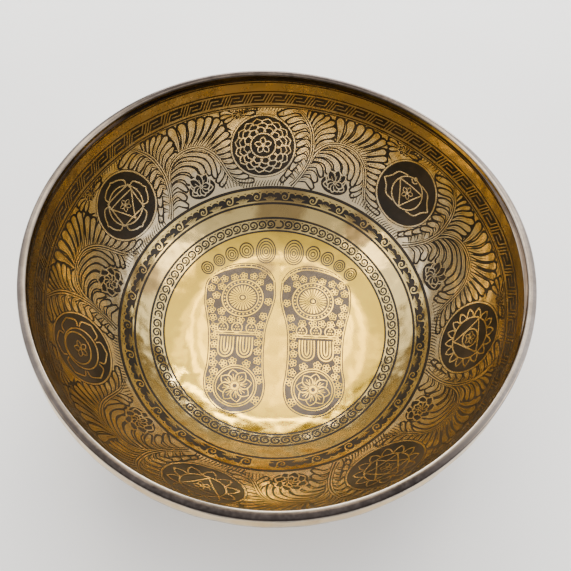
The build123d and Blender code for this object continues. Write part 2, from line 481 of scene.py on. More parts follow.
def lathe(name, distances, lifts, count, materials, slots, uv, closing=()):
    """A closed skin: rings of the hammered surface at these distances, then a closing path in the metal."""
    azimuths = np.arange(count) / count * 2 * pi
    step = 0.25
    rings, normals = [], []
    for distance, lift in zip(distances, lifts):
        here = surface(azimuths, distance, lift)
        along = surface(azimuths + 0.002, distance, lift) - surface(azimuths - 0.002, distance, lift)
        low, high = max(distance - step, 0), min(distance + step, section.length)
        up = surface(azimuths, high, lift) - surface(azimuths, low, lift)
        rings.append(here)
        normals.append(unit(np.cross(along, up)))
    for r, z in closing:
        ring = np.stack((r * np.sin(azimuths), r * np.cos(azimuths), np.full(count, z)), -1)
        rings.append(ring)
        normals.append(np.tile((0.0, 0.0, -1.0), (count, 1)))
    rows = len(rings)
    points, normals = np.concatenate(rings), np.concatenate(normals)
    n, k = np.meshgrid(np.arange(count), np.arange(rows if closing else rows - 1), indexing="xy")
    a, b = k * count + n, (k + 1) % rows * count + n
    c, d = (k + 1) % rows * count + (n + 1) % count, k * count + (n + 1) % count
    quads = np.stack((a, d, c, b), -1).reshape(-1, 4)
    corners, sizes = quads.ravel(), np.full(len(quads), 4)
    wraps = (quads[:, 1] % count) == 0
    if not closing:
        caps = [np.arange(count)[::-1], np.arange(count) + (rows - 1) * count]
        corners = np.concatenate((corners, *caps))
        sizes = np.concatenate((sizes, (count, count)))
    uvs = uv(corners, wraps, count, rows)
    materials_of = slots(k.ravel(), sizes)
    return link_mesh(name, points, corners, sizes, normals[corners], uvs, materials, materials_of)


# ---------------------------------------------------------------- materials

class Nodes:
    """A material's node tree, with short ways to add and join nodes. Places are in metres."""

    def __init__(self, name):
        self.material = bpy.data.materials.new(name)
        self.material.use_nodes = True
        self.tree = self.material.node_tree
        self.shader = next(n for n in self.tree.nodes if n.type == "BSDF_PRINCIPLED")
        self.place = self.add("ShaderNodeTexCoord").outputs["Object"]

    def add(self, kind, **values):
        node = self.tree.nodes.new(kind)
        for key, value in values.items():
            if hasattr(node, key) and key not in node.inputs:
                setattr(node, key, value)
            else:
                node.inputs[key].default_value = value
        return node

    def join(self, out, into):
        self.tree.links.new(out, into)
        return into

    def noise(self, scale, detail=3.0, roughness=0.55, stretch=None, distortion=0.0):
        """Noise on the frame's own place, in lumps per metre."""
        node = self.add("ShaderNodeTexNoise", Detail=detail, Roughness=roughness, Distortion=distortion)
        node.inputs["Scale"].default_value = scale
        place = self.place
        if stretch:
            mapping = self.add("ShaderNodeMapping")
            mapping.inputs["Scale"].default_value = stretch
            place = self.join(place, mapping.inputs["Vector"]).node.outputs["Vector"]
        self.join(place, node.inputs["Vector"])
        return node.outputs["Fac"]

    def between(self, value, low, high, out_low=0.0, out_high=1.0):
        """A soft step of a value from one range to another."""
        node = self.add("ShaderNodeMapRange", interpolation_type="SMOOTHSTEP")
        limits = {"From Min": low, "From Max": high, "To Min": out_low, "To Max": out_high}
        for key, number in limits.items():
            node.inputs[key].default_value = number
        self.join(value, node.inputs["Value"])
        return node.outputs["Result"]

    def math(self, operation, a, b=None):
        """One operation on one or two sockets or numbers."""
        node = self.add("ShaderNodeMath", operation=operation)
        for number, value in enumerate((a, b)):
            if value is None:
                continue
            if isinstance(value, (int, float)):
                node.inputs[number].default_value = value
            else:
                self.join(value, node.inputs[number])
        return node.outputs[0]

    def mix(self, share, a, b):
        """Colour a where the share is 0 and b where it is 1. Either may be a socket."""
        node = self.add("ShaderNodeMix", data_type="RGBA")
        self.join(share, node.inputs["Factor"])
        for name, value in (("A", a), ("B", b)):
            socket = next(s for s in node.inputs if s.name == name and s.type == "RGBA")
            if isinstance(value, tuple):
                socket.default_value = (*value, 1.0)
            else:
                self.join(value, socket)
        return next(s for s in node.outputs if s.type == "RGBA")

    def bump(self, height, strength, distance):
        node = self.add("ShaderNodeBump", Strength=strength, Distance=distance)
        self.join(height, node.inputs["Height"])
        self.join(node.outputs["Normal"], self.shader.inputs["Normal"])


def bronze(name, light, dark, brown, gloss, tarnish, stains=(), beaten=0.7, dimpled=False):
    """Polished bronze: uneven gold, brown where it has tarnished, with fine scratches and pits. gloss is
    the lowest and the highest roughness, tarnish the noise level from which the metal turns brown."""
    m = Nodes(name)
    clouds = m.noise(9.0, 5.0, 0.6)
    grain = m.noise(160.0, 4.0, 0.7)
    spots = m.noise(22.0, 6.0, 0.68, distortion=0.6)
    gold = m.mix(m.between(clouds, 0.35, 0.66), light, dark)
    gold = m.mix(m.between(grain, 0.3, 0.75, 0.0, 0.35), gold, dark)
    if dimpled:
        cells = m.add("ShaderNodeTexVoronoi", feature="SMOOTH_F1", Scale=78.0, Smoothness=0.35)
        m.join(m.place, cells.inputs["Vector"])
        gold = m.mix(m.between(cells.outputs["Distance"], 0.15, 0.65, 0.75, 0.0), gold, dark)
    patches = m.between(spots, tarnish, tarnish + 0.16, 0.0, 0.8)
    for place, reach in stains:
        away = m.add("ShaderNodeVectorMath", operation="DISTANCE")
        away.inputs[1].default_value = place
        m.join(m.place, away.inputs[0])
        uneven = m.math("ADD", away.outputs["Value"], m.math("MULTIPLY", spots, reach))
        patches = m.math("MAXIMUM", patches, m.between(uneven, reach * 1.1, reach * 1.6, 0.9, 0.0))
    m.join(m.mix(patches, gold, brown), m.shader.inputs["Base Color"])
    m.shader.inputs["Metallic"].default_value = 1.0
    scratches = m.noise(900.0, 2.0, 0.5, stretch=(1.0, 1.0, 0.25))
    uneven = m.math("ADD", m.math("MULTIPLY", clouds, 0.6), m.math("MULTIPLY", grain, 0.4))
    rough = m.between(uneven, 0.3, 0.7, *gloss)
    m.join(m.math("ADD", rough, m.math("MULTIPLY", patches, 0.12)), m.shader.inputs["Roughness"])
    relief_map = m.math("ADD", m.math("MULTIPLY", grain, 0.6), m.math("MULTIPLY", scratches, 0.4))
    facets = m.noise(75.0, 1.0, 0.4)
    relief_map = m.math("ADD", m.math("MULTIPLY", relief_map, 0.08), facets)
    if dimpled:
        relief_map = m.math("ADD", relief_map, m.math("MULTIPLY", cells.outputs["Distance"], 0.9))
    m.bump(relief_map, beaten, 0.0011)
    return m.material


def etched(name):
    """The acid-etched ground: dark brown and finely pitted, worn to a grey gloss on the floor."""
    m = Nodes(name)
    clouds = m.noise(30.0, 4.0, 0.6)
    pits = m.noise(1500.0, 2.0, 0.6)
    split = m.add("ShaderNodeSeparateXYZ")
    m.join(m.place, split.inputs["Vector"])
    x, y = split.outputs["X"], split.outputs["Y"]
    out = m.math("SQRT", m.math("ADD", m.math("MULTIPLY", x, x), m.math("MULTIPLY", y, y)))
    worn = m.between(m.math("ADD", out, m.math("MULTIPLY", clouds, 0.02)), 0.092, 0.112, 1.0, 0.0)
    dark = m.mix(m.between(clouds, 0.35, 0.68), (0.012, 0.009, 0.006), (0.032, 0.022, 0.014))
    grey = m.mix(m.between(clouds, 0.3, 0.7), (0.118, 0.095, 0.078), (0.075, 0.059, 0.048))
    m.join(m.mix(worn, dark, grey), m.shader.inputs["Base Color"])
    m.join(m.between(pits, 0.3, 0.7, 0.28, 0.40), m.shader.inputs["Roughness"])
    m.join(m.math("MULTIPLY", worn, 0.9), m.shader.inputs["Metallic"])
    m.shader.inputs["Specular IOR Level"].default_value = 0.32
    m.bump(pits, 0.3, 0.00005)
    return m.material


def lip_metal(name):
    """The filed lip: dark grey-brown satin, with a painted sheen on both sides and a painted inner-edge
    highlight.
    """
    m = Nodes(name)
    clouds = m.noise(26.0, 5.0, 0.65)
    grain = m.noise(420.0, 3.0, 0.7)
    split = m.add("ShaderNodeSeparateXYZ")
    m.join(m.place, split.inputs["Vector"])
    # Painted sheen: the base colour turns to a lighter metal towards the right side of the lip, less so
    # towards the left
    uneven = m.math("ADD", split.outputs["X"], m.math("MULTIPLY", clouds, 0.05))
    right = m.between(uneven, 0.11, 0.19, 0.0, 0.85)
    left = m.between(m.math("MULTIPLY", uneven, -1.0), 0.06, 0.15, 0.0, 0.4)
    dark = m.mix(m.between(clouds, 0.35, 0.68), (0.062, 0.049, 0.043), (0.026, 0.020, 0.018))
    painted_side_sheen = m.mix(m.between(clouds, 0.35, 0.68), (0.44, 0.385, 0.345), (0.28, 0.235, 0.205))
    colour = m.mix(m.math("MAXIMUM", right, left), dark, painted_side_sheen)
    colour = m.mix(m.between(grain, 0.35, 0.75, 0.0, 0.3), colour, (0.15, 0.125, 0.112))
    # Painted highlight: a pale metal colour in a narrow band along the lip's inner edge, broken by noise,
    # stronger towards -Y
    unrolled = m.add("ShaderNodeUVMap", uv_map="OFBake")
    rows = m.add("ShaderNodeSeparateXYZ")
    m.join(unrolled.outputs["UV"], rows.inputs["Vector"])
    across = m.math("FRACT", m.math("MULTIPLY", rows.outputs["Y"], 8.0))
    edge = m.math("MULTIPLY", m.between(across, 0.25, 0.30), m.between(across, 0.34, 0.40, 1.0, 0.0))
    forward = m.math("MULTIPLY", split.outputs["Y"], 1.3)
    painted_highlight_share = m.between(m.math("SUBTRACT", m.noise(8.0, 2.0), forward), 0.46, 0.74, 0.04, 0.65)
    colour = m.mix(m.math("MULTIPLY", edge, painted_highlight_share), colour, (0.50, 0.44, 0.37))
    m.join(colour, m.shader.inputs["Base Color"])
    m.shader.inputs["Metallic"].default_value = 1.0
    m.join(m.between(clouds, 0.3, 0.7, 0.09, 0.19), m.shader.inputs["Roughness"])
    m.bump(grain, 0.25, 0.00005)
    return m.material


# Brown stains on the lower wall and by the toes: place and reach in metres
STAINS = [((0.0, 0.117, 0.030), 0.030), ((-0.118, 0.030, 0.028), 0.020), ((0.075, 0.095, 0.028), 0.018),
          ((-0.012, 0.062, 0.006), 0.012), ((0.030, 0.060, 0.006), 0.010)]
polished = bronze("polished_bronze", (0.89, 0.575, 0.07), (0.74, 0.465, 0.055), (0.37, 0.24, 0.07),
                  gloss=(0.11, 0.21), tarnish=0.66, stains=STAINS, beaten=0.45)
banded = bronze("banded_bronze", (0.87, 0.65, 0.25), (0.71, 0.51, 0.185), (0.30, 0.20, 0.08),
                gloss=(0.12, 0.23), tarnish=0.58, stains=STAINS)
tan = bronze("tan_bronze", (0.96, 0.80, 0.52), (0.82, 0.66, 0.40), (0.44, 0.31, 0.16),
             gloss=(0.17, 0.28), tarnish=0.64)
golden = bronze("golden_brown_bronze", (0.63, 0.50, 0.31), (0.47, 0.365, 0.215), (0.25, 0.17, 0.09),
                gloss=(0.20, 0.32), tarnish=0.58)
outer = bronze("outer_bronze", (0.72, 0.55, 0.31), (0.48, 0.345, 0.175), (0.32, 0.215, 0.11),
               gloss=(0.13, 0.24), tarnish=0.55, beaten=1.0, dimpled=True)
patina = etched("etched_patina")
lip = lip_metal("lip_bronze")


# ---------------------------------------------------------------- body and lip

BODY_AROUND = 384           # points round the bowl in a ring of the body
LIP_AROUND = 640            # and in a ring of the lip
inner_steps = np.concatenate(([0.6], np.arange(3, WALL_END - 1, 2.9)))
lip_steps = np.linspace(WALL_END - 0.5, LIP_OUT + 1.5, 26)
outer_steps = np.append(np.arange(LIP_OUT + 3, section.length - 2, 2.9), section.length - 0.6)
body_steps = np.concatenate((inner_steps, lip_steps, outer_steps))
sunk = 0.05                 # the body stays this far inside the lip piece that covers it
body_lifts = np.where(body_steps < WALL_END, -ETCH, np.where(body_steps < LIP_OUT + 1.2, -sunk, 0.0))
body_lifts = np.where((body_steps >= WALL_END) & (body_steps < LIP_IN - 0.5), -ETCH, body_lifts)


def body_uv(corners, wraps, count, rows):
    """Two discs along the diagonal of the unit square: the inside, then the outside."""
    ring, turn = corners // count, corners % count
    distance = body_steps[ring]
    inner = distance < LIP_MIDDLE
    radius = np.where(inner, distance, section.length - distance)
    angle = turn / count * 2 * pi
    scale = 0.29 / LIP_MIDDLE
    centre = np.where(inner, 0.295, 0.705)
    return np.stack((centre + radius * np.sin(angle) * scale, centre + radius * np.cos(angle) * scale), -1)


def body_slots(rings, sizes):
    """Which material each face has: etched inside, outer bronze from the lip down."""
    slots = np.where(body_steps[np.minimum(rings, len(body_steps) - 1)] < LIP_MIDDLE, 0, 1)
    return np.concatenate((slots, [0, 1]))


body = lathe("bowl_body", body_steps, body_lifts, BODY_AROUND, [patina, outer], body_slots, body_uv)
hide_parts("bowl")

lip_edge = 0.35             # how far the lip piece reaches past the lip's straight faces
lip_path = np.linspace(LIP_IN - lip_edge, LIP_OUT + lip_edge, 44)


def lip_uv(corners, wraps, count, rows):
    """The lip unrolled into eight rows."""
    ring, turn = corners // count, corners % count
    turn = np.where(np.repeat(wraps, 4) & (turn == 0), count, turn)
    first = np.repeat(turn.reshape(-1, 4).min(1), 4)
    per = count / 8
    row = np.floor(first / per)
    across = ring / rows
    return np.stack(((turn - row * per) / per * 0.96 + 0.01, (row + 0.06 + across * 0.88) / 8), -1)


def lip_slots(rings, sizes):
    """The lip has one material."""
    return np.zeros(len(sizes), int)


lip_closing = [(RIM_RADIUS - 1.0, HEIGHT - LIP_DEPTH - 0.2), (lip_inside + 1.0, HEIGHT - LIP_DEPTH - 0.2)]
rim_lip = lathe("rim_lip", lip_path, np.zeros(len(lip_path)), LIP_AROUND, [lip], lip_slots, lip_uv,
                lip_closing)


# ---------------------------------------------------------------- drawing tools

def smooth_line(points, count):
    """A curve through the points, with the corners rounded as a pen would (Catmull-Rom)."""
    points = np.asarray(points, float)
    ends = np.concatenate((2 * points[:1] - points[1:2], points, 2 * points[-1:] - points[-2:-1]))
    at = np.linspace(0, len(points) - 1, count)
    k = np.minimum(at.astype(int), len(points) - 2)
    t = (at - k)[:, None]
    a, b, c, d = ends[k], ends[k + 1], ends[k + 2], ends[k + 3]
    squared = (2 * a - 5 * b + 4 * c - d) * t ** 2
    cubed = (3 * b - a - 3 * c + d) * t ** 3
    return 0.5 * (2 * b + (c - a) * t + squared + cubed)


def stroke(path, half_widths):
    """The outline of a stroke along a path, with a half width at each of its points."""
    path = np.asarray(path, float)
    along = np.gradient(path, axis=0)
    along /= np.maximum(np.hypot(along[:, 0], along[:, 1]), 1e-9)[:, None]
    side = np.stack((-along[:, 1], along[:, 0]), -1) * np.broadcast_to(half_widths, len(path))[:, None]
    return np.concatenate((path + side, (path - side)[::-1]))


def widths(count, shares, sizes):
    """Half widths for the points of a stroke, given at some shares of its length."""
    return np.interp(np.linspace(0, 1, count), shares, sizes)


def oval(centre, across, up=None, count=24):
    """An ellipse, or a circle."""
    a = np.arange(count) / count * 2 * pi
    up = across if up is None else up
    return np.stack((centre[0] + np.cos(a) * across, centre[1] + np.sin(a) * up), -1)


def discs(centre, *sizes, first=True):
    """Discs one over another, bright and dark in turn. Each size is a radius and a number of corners."""
    return [(oval(centre, radius, count=count), (n % 2 == 0) == first)
            for n, (radius, count) in enumerate(sizes)]


def around(outline, centre, angle, scale=1.0):
    """An outline drawn about the origin, turned and put at a place."""
    outline = np.asarray(outline, float) * scale
    c, s = cos(angle), sin(angle)
    return np.stack((centre[0] + outline[:, 0] * c - outline[:, 1] * s,
                     centre[1] + outline[:, 0] * s + outline[:, 1] * c), -1)


def turns(count, start=0.0):
    """Equal steps of a full turn, in radians."""
    return [start + n / count * 2 * pi for n in range(count)]


def ringed(drawn, angles, centre=(0, 0)):
    """Shapes drawn about the origin, put down once for each angle about a centre."""
    return [(around(outline, centre, angle), bright) for angle in angles for outline, bright in drawn]


def loop(path, half_width):
    """A closed bright line as a chain of four-cornered pieces, which hides nothing inside it."""
    path = np.asarray(path, float)
    before, after = np.roll(path, 1, 0), np.roll(path, -1, 0)
    one, two = path - before, after - path
    one /= np.hypot(*one.T)[:, None]
    two /= np.hypot(*two.T)[:, None]
    mitre = np.stack((-(one + two)[:, 1], (one + two)[:, 0]), -1)
    mitre /= np.maximum(np.hypot(*mitre.T), 1e-9)[:, None]
    reach = half_width / np.maximum(np.abs(mitre[:, 0] * -one[:, 1] + mitre[:, 1] * one[:, 0]), 0.45)
    out, inn = path + mitre * reach[:, None], path - mitre * reach[:, None]
    nexts = np.roll(np.arange(len(path)), -1)
    return [(np.array((out[i], out[j], inn[j], inn[i])), True) for i, j in enumerate(nexts)]


LEAF_LINE = 1.6             # how far a leaf's dark outline reaches past it
BROAD_LEAF = 2.35           # leaves of more than this half width end bluntly, others in a long point
VEINED_LEAF = 1.85          # leaves of more than this half width have a vein
LEAF_SHARE = np.concatenate((np.linspace(0, 0.8, 11), 0.8 + 0.2 * np.sin(np.linspace(0, pi / 2, 7)[1:])))


def leaf(spine, widest):
    """A comma-shaped leaf along a spine: bright, in a bold dark outline, with a dark vein if it is broad."""
    path = smooth_line(spine, 60)
    size = float(np.hypot(*np.diff(path, axis=0).T).sum())
    share, ahead = LEAF_SHARE, path[-1] - path[-3]
    cap = min(0.6, widest / size * (1.3 if widest > BROAD_LEAF else 2.8))
    belly = np.clip(share / (1 - cap), 0, 1) ** 1.3
    end = np.sqrt(np.clip(1 - (np.clip(share - (1 - cap), 0, None) / cap) ** 2, 0, 1))

    def along(shares):
        return np.stack([np.interp(shares, np.linspace(0, 1, 60), path[:, n]) for n in (0, 1)], -1)

    drawn = []
    for grow, bright in ((LEAF_LINE, False), (0.0, True)):
        half = (0.3 + (widest - 0.3) * belly) * end + grow * np.clip(share / 0.45 + 0.3, 0, 1)
        half[-1] = 0.05
        reach = 1 + grow / size
        past = np.clip(share * reach - 1, 0, None)[:, None]
        where = along(share * reach) + past * size * ahead / np.hypot(*ahead)
        drawn.append((stroke(where, half), bright))
    if widest > VEINED_LEAF:
        vein = np.linspace(0.12, 0.42, 9) * np.sin(np.linspace(0.5, 3.0, 9))
        drawn.append((stroke(along(np.linspace(0.16, 0.66, 9)), vein), False))
    return drawn


def petal(length, half, tip=0.5, count=9):
    """A pointed petal that stands up from the origin."""
    t = np.linspace(0, 1, count)
    width = half * np.sin(pi * t ** (0.8 + tip)) ** 0.8
    left = np.stack((-width, t * length), -1)
    right = np.stack((width, t * length), -1)[::-1][1:-1]
    return np.concatenate((left, right))


class Pen:
    """Collects shapes drawn about a place of a wall map, x along the band and y towards the lip."""

    def __init__(self, chart):
        self.chart, self.shapes = chart, []

    def put(self, drawn, azimuth, distance):
        for outline, bright in drawn:
            up = distance + outline[:, 1]
            x = (radians(azimuth) + outline[:, 0] / section.at(up)[0]) * self.chart.radius
            self.shapes.append((np.stack((x, up), -1), bright))

    def ring(self, low, high):
        """A plain dark line all round the band."""
        half = self.chart.width / 2 + 1
        self.shapes.append((oblong(-half, half, low, high), False))


# ---------------------------------------------------------------- running bands

def repeats(count, offset=0.0):
    """The azimuths of repeats all round, in degrees."""
    return [-180 + (n + offset) * 360 / count for n in range(count)]


def room(count, distance):
    """How long each of so many repeats is at this distance."""
    return 360 / count * pi / 180 * section.radius(distance)


def running_scroll(pen, distance, count):
    """Dark curls one after another, each with a foot that runs in under the one before it."""
    curl = smooth_line([(-4.3, -3.0), (-1.9, -3.0), (0.9, -2.9), (2.9, -1.4), (3.2, 1.0), (1.9, 2.9),
                        (-0.6, 3.4), (-2.8, 2.1), (-2.7, -0.2), (-0.8, -1.2), (1.0, -0.3), (0.6, 0.9),
                        (-0.5, 0.8)], 44)
    curl = stroke(curl, widths(44, (0, 0.06, 0.25, 0.5, 0.75, 1), (0.25, 1.0, 0.8, 0.95, 0.7, 0.4)))
    wedge = np.array(((-1.3, 0.5), (0, -0.9), (1.5, 0.5)))
    for azimuth in repeats(count, 0.5):
        pen.put([(curl, False)], azimuth, distance)
        pen.put([(wedge, False)], azimuth + 180 / count, distance + 3.9)


def wave_scroll(pen, distance, count):
    """A dark scalloped ground with a bright hook, a tuft of grass and dark wedges in each repeat."""
    drawn_length = 25.8
    stretch = room(count, distance) / drawn_length
    humps = []
    for centre, high in ((-0.2, 4.7), (6.4, 3.8), (12.9, 3.8), (19.4, 4.0)):
        for a in np.linspace(pi * 0.93, pi * 0.07, 7):
            humps.append(((centre + 3.3 * cos(a)) * stretch, 0.9 + (high - 0.9) * sin(a) ** 0.7))
    foot = [((-3.4 + drawn_length * n / 20) * stretch, -3.8 - 0.3 * max(0.0, 1 - abs(n - 3) / 3))
            for n in range(21)]
    drawn = [(np.array(foot + humps[::-1]), False)]
    for lean in [(k - 4) / 4 for k in range(9)]:
        blade = [(12.8 + lean * 3.0, -3.6), (12.8 + lean * 4.2, -1.9),
                 (12.8 + lean * 6.4, 0.5 - abs(lean) * 1.6)]
        drawn.append((stroke(smooth_line(blade, 6), np.linspace(0.36, 0.2, 6)), True))
    hook = smooth_line([(4.9, 4.6), (4.0, 2.6), (3.7, 0.2), (2.5, -2.0), (0.2, -2.6), (-1.9, -1.3),
                        (-1.8, 0.7), (-0.3, 1.6), (1.0, 0.7), (0.4, -0.4)], 30)
    drawn.append((stroke(hook, widths(30, (0, 0.3, 0.7, 1), (0.85, 0.46, 0.46, 0.34))), True))
    drawn.append((oval((0.35, -0.2), 0.5, count=8), True))
    for wedge in (3.2, 9.65, 16.1, 22.6):
        drawn.append((np.array(((-1.3, 4.9), (0, 3.6), (1.3, 4.9))) + ((wedge * stretch, 0),), False))
    for azimuth in repeats(count, 0.63):
        pen.put(drawn, azimuth, distance)


def fret(pen, low, high, count):
    """A leaning key pattern: two hooks that hold each other, then slanted bars."""
    tall = high - low
    unit_width = room(count, (low + high) / 2) / 18.5

    def slant(x, y):
        return np.array((x * unit_width + 0.5 * y, y))

    lines = [[slant(0, -0.3), slant(0, tall + 0.3)], [slant(2.6, -0.3), slant(2.6, tall + 0.3)],
             [slant(5.2, -0.3), slant(5.2, 0.68 * tall), slant(11.6, 0.68 * tall)],
             [slant(15.5, tall + 0.3), slant(15.5, 0.3 * tall), slant(8.2, 0.3 * tall)]]
    drawn = []
    for line in lines:
        for a, b in zip(line, line[1:]):
            along = (b - a) / np.hypot(*(b - a)) * 0.35
            drawn.append((stroke(np.linspace(a - along, b + along, 4), 0.46), True))
    pen.ring(low, high)
    for azimuth in repeats(count):
        pen.put(drawn, azimuth, low)


# ---------------------------------------------------------------- medallions

LINE = 0.55                 # half the width of the lines in a medallion


def rays(count, low, high, half, start=0.0, line=LINE, pointed=0.35):
    """A ring of petals as bright outlines, whose feet meet on a circle."""
    path = smooth_line([(-half, low), (-half * (1.12 - pointed), low + (high - low) * 0.55), (0, high)], 9)
    return ringed([(stroke(side, line), True) for side in (path, path * (-1, 1))], turns(count, start))


def star_line(count, radius, start):
    """A closed figure with straight sides."""
    return loop([(radius * sin(a), radius * cos(a)) for a in turns(count, start)], LINE)


def circle_line(radius, centre=(0, 0), line=LINE, count=40):
    return loop(oval(centre, radius, count=count), line)


def bud(size=1.0):
    """The small flower of five petals that sits in the middle of each medallion."""
    one = [(petal(5.0 + grow * 1.3, 1.9 + grow, 0.2) * size + ((0, 0.9 - grow * 0.5),), bright)
           for grow, bright in ((0.0, True), (-0.62, False))]
    return ringed(one, turns(5)) + discs((0, 0), (1.2 * size, 12))


def medallion(pen, azimuth, distance, radius, design):
    """A dark disc in a bright ring in a dark one, with a design on it."""
    rim = discs((0, 0), (radius + 2.0, 64), (radius + 1.3, 64), (radius, 64), first=False)
    for part in [rim] + design:
        pen.put(part, azimuth, distance)


def lotus_layers():
    """Overlapping petals in three rings round an inner circle."""
    rings = ((16, 20.5, 26.3, 4.0, 0.2), (14, 16.5, 22.5, 4.2, 0.0), (12, 12.2, 18.2, 4.0, 0.13))
    return [shape for ring in rings for shape in rays(*ring, 0.45, 0.1)]


def ogee(side, reach, half):
    """One big petal with a turned-in tip on the right or left of a circle."""
    path = smooth_line([(8.0, half), (16.5, half * 0.86), (20.5, half * 0.42), (reach - 2.6, 2.6),
                        (reach, 0)], 18)
    return [(stroke(path * (side, flip), LINE), True) for flip in (1, -1)]


def quarter_ogees(reach, half):
    """Four wide petals with pointed tips, one to each side."""
    path = smooth_line([(-half, 12.5), (-half * 1.12, 18), (-half * 0.62, 22.3), (-2.2, reach - 1.6),
                        (0, reach)], 16)
    return ringed([(stroke(path * (mirror, 1), LINE), True) for mirror in (1, -1)], turns(4))


crescent = stroke(smooth_line([(-4.0, 1.6), (-2.2, -0.6), (0, -1.3), (2.2, -0.6), (4.0, 1.6)], 14), 0.6)
# Each medallion's azimuth in degrees, and what is drawn in it
MEDALLIONS = {
    -163.5: [rays(10, 16.5, 25.6, 5.0), circle_line(16.5), star_line(3, 15.6, pi), bud(1.15)],
    -110.5: [rays(6, 16.8, 26.2, 8.6, 0.0, LINE, 0.1), circle_line(17.0), circle_line(13.2, (0, 3.0)),
             bud(1.3)],
    -59.5: [quarter_ogees(25.2, 10.5), circle_line(17.0), star_line(4, 18.0, pi / 4),
            star_line(3, 15.0, pi), bud(1.0)],
    -7.0: [lotus_layers(), circle_line(11.6), bud(1.5)],
    46.5: [ogee(1, 26.0, 14.2), ogee(-1, 26.0, 14.2), circle_line(15.2), star_line(3, 14.8, pi),
           [(around(crescent, (0, 12.2), 0, 0.8), True)], circle_line(1.3, (0, 15.4), 0.45, 12), bud(1.05)],
    101.5: [rays(16, 17.5, 24.8, 3.3), circle_line(17.5), star_line(3, 16.6, pi), circle_line(7.6),
            bud(0.95)],
    148.0: [rays(12, 17.2, 24.8, 4.3), circle_line(17.0), star_line(3, 16.4, 0), star_line(3, 16.4, pi),
            bud(1.0)],
}


# ---------------------------------------------------------------- leafwork between two medallions
# Places are (degrees from the medallion on the left, distance), in a sector 55 degrees wide

SECTOR = 55.0
STEM_A = [(11.0, 144.0), (12.6, 148.5), (14.5, 155.3), (16.2, 163.7), (17.2, 172), (17.6, 180.3),
          (17.3, 188.7), (16.5, 198.7), (15.2, 206.2), (13.5, 212.8), (11.5, 219.5)]
STEM_B = [(17.0, 168.7), (18.5, 178.7), (20.5, 185.3), (22.8, 189.9), (25.8, 192.7), (28.8, 193.2),
          (32.2, 191.6), (34.8, 187), (37.2, 180.3), (38.8, 172), (40, 163.7), (41.5, 155.3),
          (43.5, 149.5), (45.5, 145.5)]
# Leaves: the places one follows from its foot to its tip, then half its width
LEFT_LEAVES = [
    ((14.4, 210.5), (10.8, 217.5), (5.2, 212.6), 2.2),
    ((15.6, 204.0), (12.6, 210.6), (8.0, 205.2), 2.1),
    ((16.3, 197.0), (14.0, 203.6), (9.9, 198.4), 2.2),
    ((16.8, 189.5), (14.9, 196.2), (11.2, 191.0), 2.1),
    ((17.0, 182.0), (15.3, 188.6), (11.9, 183.4), 2.1),
    ((16.8, 175.0), (15.3, 181.2), (12.2, 175.8), 2.1),
    ((16.4, 168.5), (14.8, 174.2), (11.7, 168.0), 2.1),
    ((15.2, 162.5), (12.8, 168.0), (10.4, 159.8), 2.1),
    ((14.0, 156.0), (11.4, 161.2), (8.6, 153.0), 2.1),
    ((12.8, 150.5), (10.0, 155.2), (6.9, 148.2), 1.9),
]
RIGHT_LEAVES = [
    ((14.6, 208.0), (14.9, 214.0), (15.2, 218.8), 0.9),
    ((15.4, 205.0), (16.1, 212.5), (17.2, 218.8), 1.2),
    ((16.1, 202.0), (17.3, 210.5), (19.4, 218.2), 1.7),
    ((16.7, 198.5), (18.3, 208.0), (21.4, 217.0), 2.2),
    ((17.2, 194.5), (19.1, 204.0), (23.2, 213.0), 2.5),
    ((17.6, 190.5), (19.7, 199.8), (24.2, 206.4), 2.4),
    ((17.9, 186.0), (20.1, 195.0), (24.2, 200.8), 2.2),
    ((18.2, 181.5), (20.5, 189.6), (24.4, 194.6), 2.0),
]
PLUME = [
    ((25.3, 192.6), (25.7, 204.0), (24.9, 218.6), 3.1),
    ((26.2, 192.9), (28.4, 206.0), (28.6, 218.6), 3.1),
    ((27.6, 193.2), (31.0, 205.5), (32.2, 218.6), 3.1),
    ((29.4, 193.2), (33.4, 205.5), (35.3, 218.2), 2.8),
    ((31.2, 192.6), (35.7, 204.8), (38.0, 216.8), 2.5),
    ((32.8, 191.4), (37.8, 203.2), (40.6, 213.6), 2.5),
    ((34.2, 189.0), (38.4, 196.8), (42.0, 204.4), 2.5),
    ((35.2, 186.6), (39.0, 191.8), (43.2, 198.2), 2.4),
    ((36.0, 184.2), (39.6, 187.0), (43.9, 190.6), 2.3),
    ((36.8, 181.4), (40.0, 182.0), (43.6, 184.0), 2.1),
    ((37.5, 178.2), (40.4, 177.0), (43.5, 177.8), 2.0),
    ((38.2, 174.4), (40.8, 172.0), (43.8, 171.6), 2.0),
    ((38.8, 170.4), (41.6, 166.6), (44.5, 165.4), 2.0),
    ((39.6, 165.4), (42.6, 161.0), (46.3, 159.2), 2.0),
    ((40.4, 160.4), (44.0, 155.6), (48.3, 154.2), 1.9),
    ((41.4, 155.4), (45.4, 150.8), (50.3, 149.8), 1.6),
]
INNER_LEAVES = [
    ((39.6, 166.0), (39.2, 158.0), (36.6, 150.6), 2.0),
    ((38.6, 172.0), (38.6, 163.0), (35.6, 155.0), 2.1),
    ((18.9, 178.7), (21.8, 185.6), (27.2, 189.6), (34.6, 180.0), (35.4, 159.6), 2.2),
    ((18.7, 177.0), (21.0, 182.6), (26.2, 186.2), (32.6, 177.6), (33.5, 164.0), 2.2),
    ((18.3, 175.3), (20.4, 180.4), (25.0, 183.0), (30.0, 176.8), (31.3, 166.4), 2.4),
    ((17.7, 172.4), (19.6, 177.0), (23.6, 178.6), (27.0, 174.6), (28.3, 167.2), 3.0),
    ((17.2, 168.4), (18.8, 172.4), (22.0, 173.2), (24.4, 169.4), (25.2, 163.4), 2.6),
    ((16.4, 162.5), (18.0, 166.6), (20.8, 167.2), (22.8, 158.6), 2.3),
    ((15.0, 155.0), (16.4, 158.6), (19.0, 159.4), (20.9, 152.2), 2.5),
    ((13.2, 148.6), (15.0, 151.4), (17.6, 152.0), (20.3, 145.6), 2.3),
]
